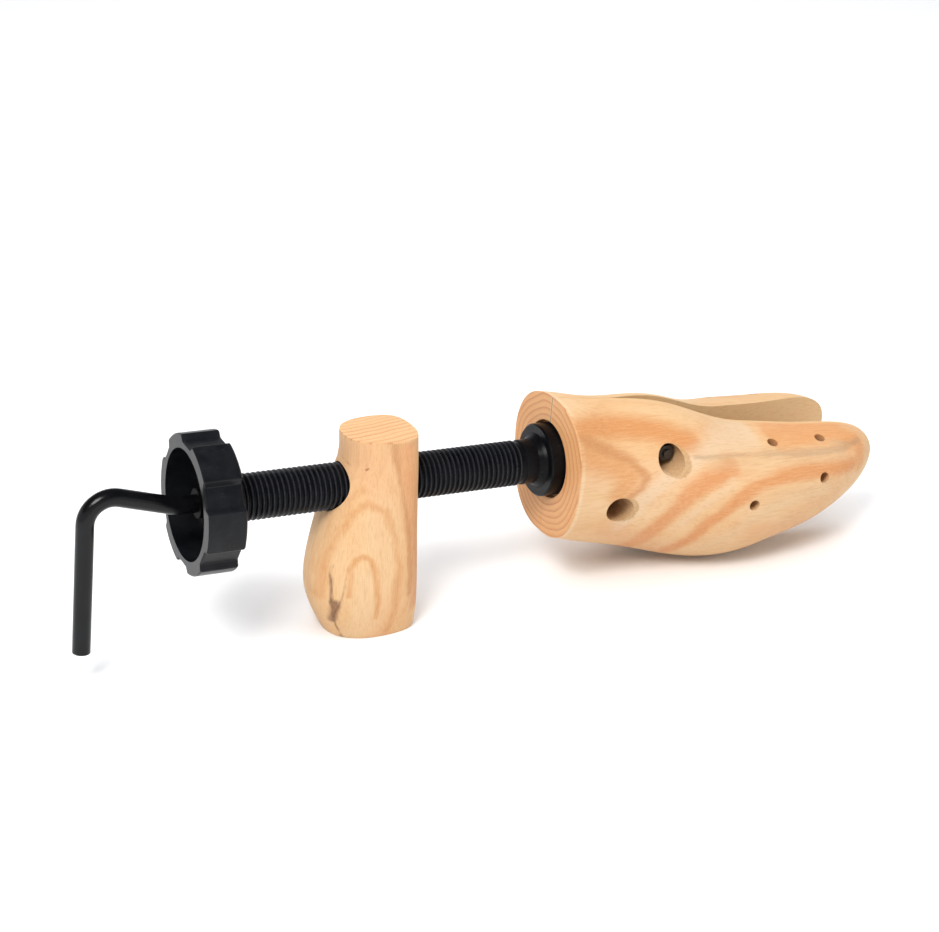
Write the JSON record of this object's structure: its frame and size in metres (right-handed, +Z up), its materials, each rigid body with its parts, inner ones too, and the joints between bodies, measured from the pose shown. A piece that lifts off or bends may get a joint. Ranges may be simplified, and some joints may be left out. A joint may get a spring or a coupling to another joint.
{
  "type": "shoe stretcher",
  "caption": "Two-way wooden shoe stretcher: split toe block and heel block on a threaded tube, with a hand wheel for length and a cranked handle that spreads the toe halves.",
  "frame": {"origin": "on the floor, under the middle of the whole length and width", "axes": "+X towards the toe, +Y to the left seen from behind the handle, +Z up"},
  "size_m": [0.3804, 0.0886, 0.1007],
  "materials": {
    "pine": "bare sanded pine",
    "black_plastic": "moulded black nylon, half gloss",
    "black_rod": "gloss black coated steel",
    "zinc": "bright zinc plated",
    "spring_steel": "plain drawn wire"
  },
  "bodies": {
    "core": {"fulcrum_bolt": "zinc", "fulcrum_nut": "zinc", "fulcrum_washers": "zinc", "spring_bolt": "zinc", "spring_nut": "zinc", "spring_washers": "zinc", "return_spring_left": "spring_steel", "return_spring_right": "spring_steel"},
    "toe_left": {"toe_half_left": "pine", "ramp_plate_left": "zinc", "ramp_screws_left": "zinc"},
    "toe_right": {"toe_half_right": "pine", "ramp_plate_right": "zinc", "ramp_screws_right": "zinc"},
    "spindle": {"threaded_tube": "black_plastic", "hand_wheel": "black_plastic", "wheel_lock_nut": "black_plastic"},
    "heel": {"heel_block": "pine", "heel_insert": "zinc"},
    "handle": {"handle_rod": "black_rod", "rod_collar": "black_rod", "collar_pin": "black_rod", "thrust_washer": "black_rod"},
    "wedge": {"wedge_nut": "zinc"}
  },
  "joints": [
    {"name": "handle_turn", "type": "hinge", "parent": "core", "child": "handle", "pos_m": [0.02317, 0, 0.05778], "axis": [0.9962, 0, -0.0875], "range_deg": [-5760, 0]},
    {"name": "wedge_slide", "type": "slide", "parent": "core", "child": "wedge", "axis": [0.9962, 0, -0.0875], "range_m": [0, 0.02]},
    {"name": "toe_left_swing", "type": "hinge", "parent": "core", "child": "toe_left", "pos_m": [0.05803, 0, 0.05471], "axis": [0.0875, 0, 0.9962], "range_deg": [-7.7, 0], "deforming": ["return_spring_left"]},
    {"name": "toe_right_swing", "type": "hinge", "parent": "core", "child": "toe_right", "pos_m": [0.05803, 0, 0.05471], "axis": [0.0875, 0, 0.9962], "range_deg": [0, 7.7], "deforming": ["return_spring_right"]},
    {"name": "wheel_turn", "type": "hinge", "parent": "core", "child": "spindle", "pos_m": [0.02317, 0, 0.05778], "axis": [0.9962, 0, -0.0875], "range_deg": [-6886.96, 4695.65]},
    {"name": "heel_slide", "type": "slide", "parent": "core", "child": "heel", "axis": [0.9962, 0, -0.0875], "range_m": [-0.03, 0.044]}
  ],
  "couplings": [
    {"joint": "wedge_slide", "follows": "handle_turn", "m_per_rad": -0.00019894},
    {"joint": "toe_left_swing", "follows": "handle_turn", "ratio": 0.0013368},
    {"joint": "toe_right_swing", "follows": "handle_turn", "ratio": -0.0013368},
    {"joint": "heel_slide", "follows": "wheel_turn", "m_per_rad": -0.00036606}
  ]
}
